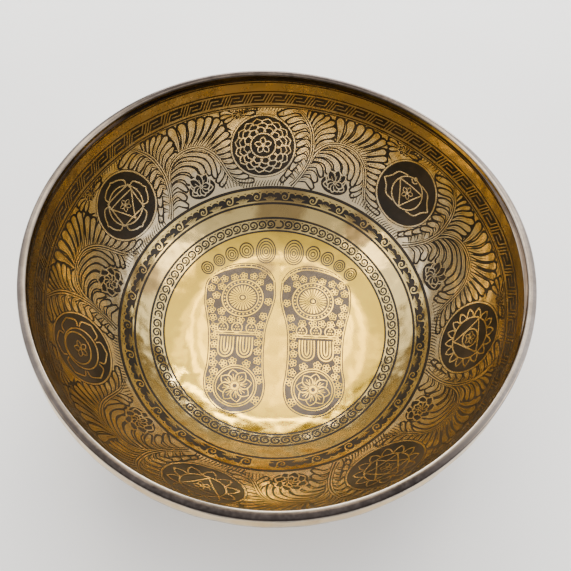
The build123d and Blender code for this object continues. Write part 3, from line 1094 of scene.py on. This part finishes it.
SMALL_LEAVES = [
    ((46.2, 213.6), (43.6, 218.0), (41.6, 217.4), 1.5),
    ((46.2, 213.6), (43.4, 214.2), (41.4, 213.0), 1.5),
    ((46.2, 213.6), (44.4, 211.2), (42.6, 208.6), 1.5),
    ((48.6, 213.6), (50.6, 217.0), (53.0, 218.2), 1.5),
    ((48.6, 213.6), (50.2, 214.4), (52.4, 215.2), 1.5),
]
# Dark gaps between the leaves
WEDGES = [
    [(23.0, 203.0), (24.2, 209.0), (24.4, 203.5), (24.9, 197.0), (23.6, 199.0)],
    [(41.0, 207.0), (43.6, 209.5), (43.2, 204.0), (45.2, 199.0), (43.0, 201.0)],
    [(3.4, 214.6), (7.0, 207.0), (9.6, 199.0), (11.4, 190.0), (12.4, 178.0), (10.4, 190.0), (7.4, 204.0)],
]


class Sector:
    """The ground between two neighbouring medallions, stretched to the angle between them."""

    def __init__(self, chart, left, right):
        self.chart, self.left = chart, left
        self.stretch = ((right - left) % 360) / SECTOR
        self.shapes = []

    def flat(self, places):
        places = np.asarray(places, float)
        x = np.radians(self.left + places[..., 0] * self.stretch) * self.chart.radius
        return np.stack((x, places[..., 1]), -1)

    def leaves(self, rows):
        for *spine, widest in rows:
            self.shapes += leaf(self.flat(spine), widest)

    def line(self, places, half, bright):
        """A line that tapers from its foot to its tip."""
        taper = widths(40, (0, 0.15, 0.8, 1), (1.5, 1.0, 1.0, 0.6)) * half
        self.shapes.append((stroke(smooth_line(self.flat(places), 40), taper), bright))

    def flower(self, centre, size, petals, spread, turn=0.0):
        """An open flower: dark petals in bright outlines about a bright heart."""
        middle = self.flat(centre)
        for ring, (count, length, half) in enumerate(petals):
            one = [(petal(length + grow * 1.4, half + grow) * size, bright)
                   for grow, bright in ((0.85, True), (0.0, False))]
            vein = np.linspace((0, length * 0.25), (0, length * 0.62), 4)
            one.append((stroke(vein, 0.25) * size, True))
            gaps = max(count - (spread < 6), 1)
            angles = [turn + (n - (count - 1) / 2) * spread / gaps + ring * 0.2 for n in range(count)]
            self.shapes += ringed(one, angles, middle)
        self.shapes += discs(middle, (1.9 * size, 14), (1.1 * size, 12), (0.5 * size, 8))


def leaf_sector(chart, left, right, lotus):
    """The stems, leaves and flowers between two medallions, with a lotus or a daisy in the middle."""
    s = Sector(chart, left, right)
    for wedge in WEDGES:
        s.shapes.append((s.flat(wedge), False))
    for rows in (PLUME[::-1], RIGHT_LEAVES[:2], RIGHT_LEAVES[:1:-1], LEFT_LEAVES[::-1], INNER_LEAVES):
        s.leaves(rows)
    for stem in (STEM_B, STEM_A):
        for half, bright in ((2.2, False), (1.5, True), (0.55, False)):
            s.line(stem, half, bright)
    for n in range(7):
        foot = 38.2 + n * 1.2
        tip = (foot - 1.0 + n * 0.35, 155.5 - abs(n - 3) * 0.9)
        s.line([(foot, 146.5), (foot - 0.3 + n * 0.08, 151.0), tip], 0.42, False)
    s.shapes.append((oval(s.flat((28.7, 154.0)), 14.5, 9.0, count=30), False))
    if lotus:
        s.flower((28.7, 155.0), 1.0, [(6, 11.4, 2.9)], 3.6)
        s.flower((28.7, 154.2), 1.0, [(3, 14.2, 3.3)], 1.25)
        s.flower((28.7, 156.4), 1.0, [(5, 8.6, 2.7)], 2.7, pi)
    else:
        s.flower((28.7, 156.8), 1.2, [(8, 10.6, 3.4), (8, 5.6, 1.7)], 2 * pi)
    s.shapes.append((oval(s.flat((47.2, 214.6)), 7.0, 5.0, count=24), False))
    s.leaves(SMALL_LEAVES)
    s.flower((47.2, 214.4), 0.6, [(8, 8.4, 2.5)], 2 * pi)
    return s.shapes


def medallion_grass(pen, azimuth, distance):
    """Slanted strokes that fill the gap over and under a medallion."""
    for x in [(n - 7) * 2.7 for n in range(15)]:
        rise = 0.011 * x * x
        low = [(x - 1.6, -38.8), (x - 0.4, -36.2 + rise * 0.4), (x + 1.4, -33.6 + rise)]
        high = [(x + 1.4, 36.6), (x + 0.4, 35.2 - rise * 0.4), (x - 0.6, 33.8 - rise)]
        for line, half in ((low, 0.62), (high, 0.5)):
            blade = stroke(smooth_line(line, 7), np.linspace(half, half * 0.4, 7))
            pen.put([(blade, False)], azimuth, distance)


# ---------------------------------------------------------------- footprints

# The left foot in plan about the middle of the floor: its sole, the line over its ball, and its toes,
# each with a middle and two half widths
SOLE = [(-2.5, 50.0), (-1.2, 40.0), (-0.8, 31.0), (-3.0, 19.0), (-6.4, 7.0), (-8.4, -4.0),
        (-9.0, -16.0), (-9.0, -30.0), (-8.0, -44.0), (-6.4, -55.0), (-8.0, -66.0), (-13.0, -74.0),
        (-22.0, -79.4), (-33.0, -81.2), (-42.0, -79.2), (-50.0, -73.4), (-56.0, -65.6), (-59.0, -57.0),
        (-59.8, -47.0), (-58.6, -37.0), (-58.8, -21.0), (-60.2, -6.0), (-63.0, 8.0), (-66.0, 20.0),
        (-67.0, 31.0), (-66.4, 42.0), (-62.0, 50.0), (-50.0, 60.0), (-36.0, 65.4), (-21.0, 65.8),
        (-9.0, 60.0)]
BALL_ARC = [(-66.4, 46.0), (-59.0, 51.5), (-50.0, 57.0), (-36.0, 61.6), (-21.0, 61.6), (-10.0, 56.4),
            (-2.0, 47.0)]
TOES = [(-12.2, 79.2, 9.6, 12.2), (-30.8, 78.2, 7.0, 7.3), (-44.6, 73.0, 6.2, 6.5),
        (-56.0, 65.6, 5.4, 5.6), (-66.2, 56.6, 5.8, 5.8)]
BALL, HEEL = (-31.5, 29.0), (-32.5, -56.0)


def closed_curve(points, count):
    """A closed curve through the points, as evenly spaced points of its own."""
    ends = np.concatenate((points[-2:], points, points[:3]))
    line = smooth_line(ends, (len(points) + 4) * 20 + 1)
    body = line[40:40 + len(points) * 20]
    step = np.concatenate(([0], np.cumsum(np.hypot(*np.diff(body, axis=0).T))))
    at = np.arange(count) / count * step[-1]
    return np.stack([np.interp(at, step, body[:, n]) for n in (0, 1)], -1)


def shrunk(outline, by):
    """An outline moved inwards, or outwards where by is negative."""
    outline = np.asarray(outline, float)
    along = np.roll(outline, -1, 0) - np.roll(outline, 1, 0)
    along /= np.hypot(*along.T)[:, None]
    side = np.stack((-along[:, 1], along[:, 0]), -1) * (1 if area(outline) > 0 else -1)
    return outline + side * by


def wheel(centre, radius):
    """The wheel on the ball of the foot: rings, a row of beads and spokes."""
    drawn = discs(centre, (radius + 0.9, 64), (radius - 0.2, 64), (radius - 3.4, 56), (radius - 4.3, 56))
    for a in turns(30):
        bead = (centre[0] + (radius - 1.8) * cos(a), centre[1] + (radius - 1.8) * sin(a))
        drawn += discs(bead, (0.85, 8))
    spoke = stroke(np.linspace((4.6, 0), (radius - 6.0, 0), 2), (0.35, 0.85))
    drawn += ringed([(spoke, True)], turns(26), centre)
    return drawn + discs(centre, (4.2, 24), (3.3, 24), (1.8, 16))


def rosette(centre, radius, petals, line, turn=0.0):
    """A ring of dark petals in bright outlines round a bright hub."""
    one = []
    size = radius * pi / petals * 0.98
    for grow, bright in ((0.0, True), (-line, False)):
        shape = petal(radius - radius * 0.2 + grow * 1.2, size * 0.86 + grow, 0.15, 7)
        one.append((shape + ((0, radius * 0.2 - grow * 0.4),), bright))
    for lean in (-0.16, 0.0, 0.16):
        tip = (lean * radius, radius * (0.72 - abs(lean) * 0.6))
        one.append((stroke(np.linspace((0, radius * 0.3), tip, 4), 0.3), True))
    drawn = ringed(one, turns(petals, turn), centre)
    return drawn + discs(centre, (radius * 0.24, 12), (radius * 0.13, 10))


def small_flower(centre, radius, turn):
    """A little flower: five round petals as bright outlines with dark hearts."""
    drawn = []
    for size, bright, count in ((radius * 0.41, True, 10), (radius * 0.27, False, 7)):
        for a in turns(5, turn):
            spot = (centre[0] + radius * 0.60 * cos(a), centre[1] + radius * 0.60 * sin(a))
            drawn.append((oval(spot, size, count=count), bright))
    return drawn + discs(centre, (radius * 0.30, 8), (radius * 0.15, 6))


def toe(x, y, across, up):
    """A toe print: dark rings that grow out of a dot."""
    drawn = [(oval((x, y), across + 0.3, up + 0.3, count=48), False),
             (oval((x, y), across - 1.0, up - 1.0, count=44), True)]
    rings = 5 if across > 8 else 3
    for n in range(1, rings):
        share = 1 - n / rings
        centre, wide, tall = (x, y - n * 0.1), across * share + 0.2, up * share + 0.2
        drawn.append((oval(centre, wide, tall, count=36), False))
        drawn.append((oval(centre, max(wide - 1.1, 0.3), max(tall - 1.1, 0.3), count=32), True))
    return drawn


def inside(point, outline):
    """Whether a point lies within an outline."""
    x, y = point
    a, b = outline, np.roll(outline, -1, 0)
    cross = (a[:, 1] > y) != (b[:, 1] > y)
    rise = np.where(b[:, 1] == a[:, 1], 1e-9, b[:, 1] - a[:, 1])
    at = a[:, 0] + (y - a[:, 1]) * (b[:, 0] - a[:, 0]) / rise
    return bool(np.sum(cross & (x < at)) % 2)


def flower_field(sole, arc):
    """Small flowers packed over the sole, round its edge first, clear of what else is drawn there."""
    random = np.random.default_rng(5)
    rows = [shrunk(closed_curve(np.array(SOLE), 44), 5.5)]
    for y in np.arange(-72.0, 60.0, 2.0):
        rows.append(np.array([(x, y) for x in np.arange(-62.0, 0.0, 2.0)]))
    drawn, placed, inner = [], [], shrunk(sole, 4.1)
    for row in rows:
        for place in row:
            place = place + random.uniform(-0.3, 0.3, 2)
            free = inside(place, inner)
            free &= all(hypot(*(place - centre)) > clear for centre, clear in ((BALL, 22.8), (HEEL, 21.6)))
            free &= not (-53.0 < place[0] < -17.0 and -32.0 < place[1] < 5.5)
            free &= float(np.min(np.hypot(*(arc - place).T))) > 4.2
            free &= not (place[1] > 40 and place[1] > np.interp(place[0], arc[:, 0], arc[:, 1]))
            if free and all(hypot(*(place - other)) > 7.9 for other in placed):
                placed.append(place)
                drawn += small_flower(place, 3.9, random.uniform(0, 1.0))
    return drawn


def middle_panel():
    """Three dials, two bars and two nested pairs of hanging loops on the arch of the foot."""
    drawn = []
    for x in (-47.5, -34.5, -21.5):
        drawn += [(oval((x, -1.6), 5.2, 5.4, count=22), True), (oval((x, -1.6), 4.3, 4.5, count=20), False)]
        for along, up in ((-2.3, -3.2), (0.0, -3.2), (2.3, -3.2), (-1.2, -0.5), (1.2, -0.5), (0.0, 1.6)):
            drawn += discs((x + along, up), (0.75, 8))
    for low, high in ((-6.2, -5.2), (-8.2, -7.4)):
        drawn.append((oblong(-55.0, -14.0, low, high), True))
    for x in (-43.5, -26.5):
        for out in (6.6, 4.0, 1.5):
            left = [(-out, -10.5), (-out, -18.5 - out * 0.6), (-out * 0.72, -21.5 - out * 0.9)]
            right = [(-across, y) for across, y in left[::-1]]
            hanging = [(x + across, y) for across, y in left + [(0.0, -23.0 - out)] + right]
            drawn.append((stroke(smooth_line(hanging, 22), 0.62), True))
    return drawn


def footprint():
    """The left foot. The right one is its mirror image."""
    sole = closed_curve(np.array(SOLE), 150)
    arc = smooth_line(BALL_ARC, 50)
    drawn = [(shrunk(sole, -0.2), False), (shrunk(sole, 0.8), True), (shrunk(sole, 1.6), False)]
    drawn += flower_field(sole, arc)
    drawn.append((stroke(arc, 0.6), True))
    for x, y in arc[3:48:3]:
        drawn.append((stroke(np.linspace((x, y + 0.8), (x * 0.985 + 0.1, y + 3.0), 3), 0.34), True))
    drawn += wheel(BALL, 18.6)
    drawn += discs(HEEL, (19.0, 64), (18.1, 64), (16.9, 56), (16.1, 56))
    drawn += rosette(HEEL, 15.0, 8, 0.9, 0.2)
    drawn += middle_panel()
    for x, y, across, up in TOES:
        drawn += toe(x, y, across, up)
    return drawn


def feet():
    """Both feet, the right one a little nearer."""
    left = footprint()
    mirrored = [(outline * (-1, 1) + ((2.6, -0.6),), bright) for outline, bright in left]
    return left + mirrored


# ---------------------------------------------------------------- the drawings put on the bowl

# Where the bands begin and end, by the distance from the middle of the floor
FLOOR_END = 99.3
SCROLL_END, WAVE_START, LEAF_START, LEAF_END = 113.4, 126.2, 143.0, 219.4
MEDALLION_DISTANCE, MEDALLION_RADIUS = 182.5, 29.0

floor_map = FloorMap(section.radius(FLOOR_END))
relief("floor_footprints", floor_map, feet(), polished, cells=floor_map.cells(6))

scroll_map = WallMap(FLOOR_END, WAVE_START)
pen = Pen(scroll_map)
pen.ring(FLOOR_END, 101.1)
running_scroll(pen, 106.2, 77)
pen.ring(111.6, SCROLL_END + 0.3)
pen.ring(WAVE_START - 0.5, WAVE_START)
relief("scroll_band", scroll_map, pen.shapes, banded, cells=scroll_map.cells(8))

wave_map = WallMap(WAVE_START, LEAF_START)
pen = Pen(wave_map)
pen.ring(WAVE_START, 127.9)
wave_scroll(pen, 133.2, 29)
pen.ring(140.6, LEAF_START)
relief("wave_band", wave_map, pen.shapes, banded, cells=wave_map.cells(8))

leaf_map = WallMap(LEAF_START, LEAF_END)
pen = Pen(leaf_map)
pen.ring(LEAF_START, LEAF_START + 0.4)
centres = sorted(MEDALLIONS)
shapes = []
for n, azimuth in enumerate(centres):
    shapes += leaf_sector(leaf_map, azimuth, centres[(n + 1) % len(centres)], n in (2, 3, 4))
for azimuth in centres:
    medallion_grass(pen, azimuth, MEDALLION_DISTANCE)
    medallion(pen, azimuth, MEDALLION_DISTANCE, MEDALLION_RADIUS, MEDALLIONS[azimuth])
# What reaches past the seam at the back is drawn again on the other side of it
full_turn = leaf_map.width
wrapped = []
for outline, bright in shapes + pen.shapes:
    for turn in (0.0, -full_turn, full_turn):
        moved = outline + ((turn, 0.0),)
        if moved[:, 0].max() > -full_turn / 2 and moved[:, 0].min() < full_turn / 2:
            wrapped.append((moved, bright))
leaf_cells = leaf_map.cells(28)
relief("leafwork_left", leaf_map, wrapped, tan, cells=leaf_cells[:14])
relief("leafwork_right", leaf_map, wrapped, tan, cells=leaf_cells[14:])

upper_map = WallMap(LEAF_END, WALL_END - 1.2)
pen = Pen(upper_map)
pen.ring(LEAF_END, 220.2)
pen.ring(221.0, 222.3)
fret(pen, 224.3, 233.7, 58)
pen.ring(235.2, 236.5)
pen.ring(245.0, 246.3)
relief("upper_bands", upper_map, pen.shapes, golden, cells=upper_map.cells(8))


# ---------------------------------------------------------------- camera, floor and light

def look_along(pitch, yaw, roll):
    """The camera's turn: pitched down, yawed right and rolled, in degrees."""
    p, y, r = radians(pitch), radians(yaw), radians(roll)
    forward = Vector((sin(y) * cos(p), cos(y) * cos(p), -sin(p)))
    right = Vector((cos(y), -sin(y), 0))
    up = right.cross(forward)
    rolled = right * cos(r) + up * sin(r)
    return Matrix((rolled, forward.cross(rolled) * -1, -forward)).transposed()


CAMERA_PLACE = (0, -0.2037, 0.3294 + HEIGHT * METRE)
CAMERA_TURN = (62.10, 1.85, 4.28)
camera_data = bpy.data.cameras.new("camera")
camera_data.sensor_width = 36.0
camera_data.lens = 35.3
camera = bpy.data.objects.new("camera", camera_data)
camera.matrix_world = Matrix.Translation(CAMERA_PLACE) @ look_along(*CAMERA_TURN).to_4x4()
bpy.context.scene.collection.objects.link(camera)
bpy.context.scene.camera = camera


def area_light(name, place, target, width, height, power, colour):
    """A lit rectangle that faces a target, in metres and watts."""
    data = bpy.data.lights.new(name, "AREA")
    data.shape = "RECTANGLE"
    data.size, data.size_y = width, height
    data.energy = power
    data.color = colour
    made = bpy.data.objects.new(name, data)
    made.location = place
    made.rotation_mode = "QUATERNION"
    made.rotation_quaternion = (Vector(target) - Vector(place)).to_track_quat("-Z", "Y")
    bpy.context.scene.collection.objects.link(made)


# The window is a row of panes of different strength, so that the hammer marks break its reflection
PANES = ((-1.05, 0.34, 2.6), (-0.58, 0.44, 9.5), (-0.08, 0.36, 2.6), (0.36, 0.30, 8.0), (0.86, 0.34, 2.6))
for across, size, power in PANES:
    area_light(f"pane_{across:+.2f}", (across, 1.0, 2.0), (across * 0.2, 0, 0.05), size, 1.6, power,
               (1.0, 0.89, 0.64))
area_light("window_behind", (0.2, 2.3, 1.15), (0, 0, 0.1), 2.2, 0.8, 90, (1.0, 0.97, 0.92))
area_light("fill_left", (-2.0, -0.5, 2.1), (0, 0, 0.05), 0.8, 1.0, 11, (1.0, 0.86, 0.62))
area_light("fill_right", (2.0, -0.1, 1.9), (0, 0, 0.1), 0.8, 1.0, 11, (1.0, 0.88, 0.66))


def studio_floor():
    """A wide pale table top under the bowl."""
    m = Nodes("studio_floor")
    soft = m.noise(3.0, 2.0, 0.5)
    pale = m.mix(m.between(soft, 0.3, 0.7), (0.925, 0.94, 0.97), (0.875, 0.89, 0.92))
    m.join(pale, m.shader.inputs["Base Color"])
    m.shader.inputs["Roughness"].default_value = 0.7
    size, cells = 40.0, 48
    mesh = bpy.data.meshes.new("studio_floor")
    steps = [(n / cells - 0.5) * size for n in range(cells + 1)]
    verts = [(x, y, 0.0) for y in steps for x in steps]
    quads = []
    for j in range(cells):
        for i in range(cells):
            a = j * (cells + 1) + i
            quads.append((a, a + 1, a + cells + 2, a + cells + 1))
    mesh.from_pydata(verts, [], quads)
    mesh.materials.append(m.material)
    made = bpy.data.objects.new("studio_floor", mesh)
    bpy.context.scene.collection.objects.link(made)


studio_floor()

# The room is bright overhead and behind the bowl, and dimmer towards the camera
world = bpy.data.worlds.new("studio")
bpy.context.scene.world = world
world.use_nodes = True
tree = world.node_tree
split = tree.nodes.new("ShaderNodeSeparateXYZ")
tree.links.new(tree.nodes.new("ShaderNodeTexCoord").outputs["Generated"], split.inputs["Vector"])
ramp = tree.nodes.new("ShaderNodeMapRange")
ramp.interpolation_type = "SMOOTHSTEP"
for key, number in {"From Min": -0.55, "From Max": 0.15, "To Min": 0.85, "To Max": 2.05}.items():
    ramp.inputs[key].default_value = number
tree.links.new(split.outputs["Y"], ramp.inputs["Value"])
sky = tree.nodes["Background"]
sky.inputs["Color"].default_value = (0.86, 0.86, 0.87, 1)
tree.links.new(ramp.outputs["Result"], sky.inputs["Strength"])
